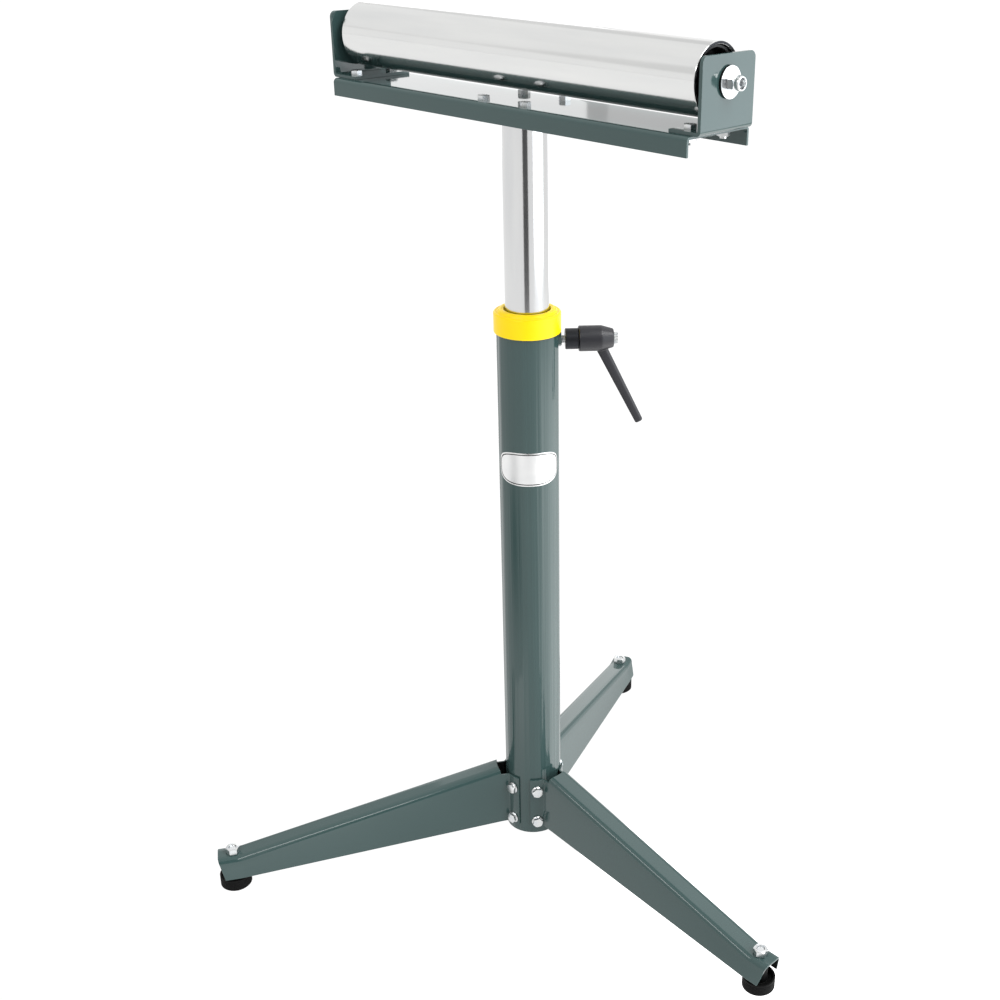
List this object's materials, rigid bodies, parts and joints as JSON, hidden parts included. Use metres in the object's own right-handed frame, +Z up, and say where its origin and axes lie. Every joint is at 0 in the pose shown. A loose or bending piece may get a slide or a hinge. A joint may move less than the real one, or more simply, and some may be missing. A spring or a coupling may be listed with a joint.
{
  "type": "roller stand",
  "caption": "Floor stand on a tripod of folded steel legs, with a telescopic post, a clamp lever and a free-turning steel roller that carries long stock beside a machine.",
  "frame": {"origin": "on the floor under the middle of the stand's box; the column's axis is 52.2 mm towards -X and 13.6 mm towards -Y of it", "axes": "+Z up along the column, +X along the roller's axle as it stands at rest, -Y towards the front"},
  "size_m": [0.5848, 0.6106, 0.886],
  "materials": {
    "paint": "gloss grey-green stove enamel",
    "chrome": "bright plated tube, faint turning lines",
    "yellow_plastic": "moulded, semi-gloss",
    "rubber": "moulded, matt",
    "zinc_steel": "bright zinc plate",
    "bearing_steel": "ground bearing steel",
    "black_steel": "blackened steel",
    "black_plastic": "fine-grained moulding"
  },
  "bodies": {
    "stand": {"column_tube": "paint", "collar_ring": "yellow_plastic", "leg_1": "paint", "leg_2": "paint", "leg_3": "paint", "foot_pad_1": "rubber", "foot_pad_2": "rubber", "foot_pad_3": "rubber", "foot_stud_1": "zinc_steel", "foot_stud_2": "zinc_steel", "foot_stud_3": "zinc_steel", "foot_nut_1": "zinc_steel", "foot_nut_2": "zinc_steel", "foot_nut_3": "zinc_steel", "leg_bolt_1": "zinc_steel", "leg_bolt_2": "zinc_steel", "leg_bolt_3": "zinc_steel", "leg_bolt_4": "zinc_steel", "leg_bolt_5": "zinc_steel", "leg_bolt_6": "zinc_steel", "leg_bolt_7": "zinc_steel", "leg_bolt_8": "zinc_steel", "leg_bolt_9": "zinc_steel", "leg_bolt_10": "zinc_steel", "leg_bolt_11": "zinc_steel", "leg_bolt_12": "zinc_steel"},
    "guide": {"guide_bush": "black_plastic"},
    "head": {"post_tube": "chrome", "head_channel": "paint", "end_bracket_right": "paint", "end_bracket_left": "paint", "axle": "zinc_steel", "centre_bolt_1": "zinc_steel", "centre_bolt_2": "zinc_steel", "centre_bolt_3": "zinc_steel", "centre_bolt_4": "zinc_steel", "bracket_bolt_right_1": "zinc_steel", "bracket_bolt_right_2": "zinc_steel", "bracket_bolt_left_1": "zinc_steel", "bracket_bolt_left_2": "zinc_steel", "bracket_nut_right_1": "zinc_steel", "bracket_nut_right_2": "zinc_steel", "bracket_nut_left_1": "zinc_steel", "bracket_nut_left_2": "zinc_steel", "axle_washer_right": "zinc_steel", "axle_washer_left": "zinc_steel", "axle_nut_right": "zinc_steel", "axle_nut_left": "zinc_steel", "bearing_inner_right": "bearing_steel", "bearing_inner_left": "bearing_steel"},
    "roller": {"roller_tube": "chrome", "end_cap_right": "black_steel", "end_cap_left": "black_steel", "bearing_outer_right": "bearing_steel", "bearing_outer_left": "bearing_steel"},
    "clamp_screw": {"clamp_stud": "zinc_steel", "lever_insert": "black_steel", "lever_screw": "zinc_steel", "lever_spring": "zinc_steel"},
    "lever": {"lever_handle": "black_plastic"}
  },
  "joints": [
    {"name": "height_slide", "type": "slide", "parent": "stand", "child": "guide", "axis": [0, 0, 1], "range_m": [-0.175, 0.23]},
    {"name": "head_swivel", "type": "hinge", "parent": "guide", "child": "head", "pos_m": [-0.05216, -0.0136, 0.3], "axis": [0, 0, 1], "continuous": true},
    {"name": "roller_spin", "type": "hinge", "parent": "head", "child": "roller", "pos_m": [-0.05216, -0.0136, 0.856], "axis": [1, 0, 0], "continuous": true},
    {"name": "clamp_turn", "type": "hinge", "parent": "stand", "child": "clamp_screw", "pos_m": [-0.0254, 0.01613, 0.593], "axis": [0.6691, 0.7431, 0], "range_deg": [0, 90]},
    {"name": "lever_lift", "type": "slide", "parent": "clamp_screw", "child": "lever", "axis": [0.6691, 0.7431, 0], "range_m": [0, 0.0045], "stiffness_N_per_m": 800, "springref_m": -0.005, "deforming": ["lever_spring"]}
  ]
}
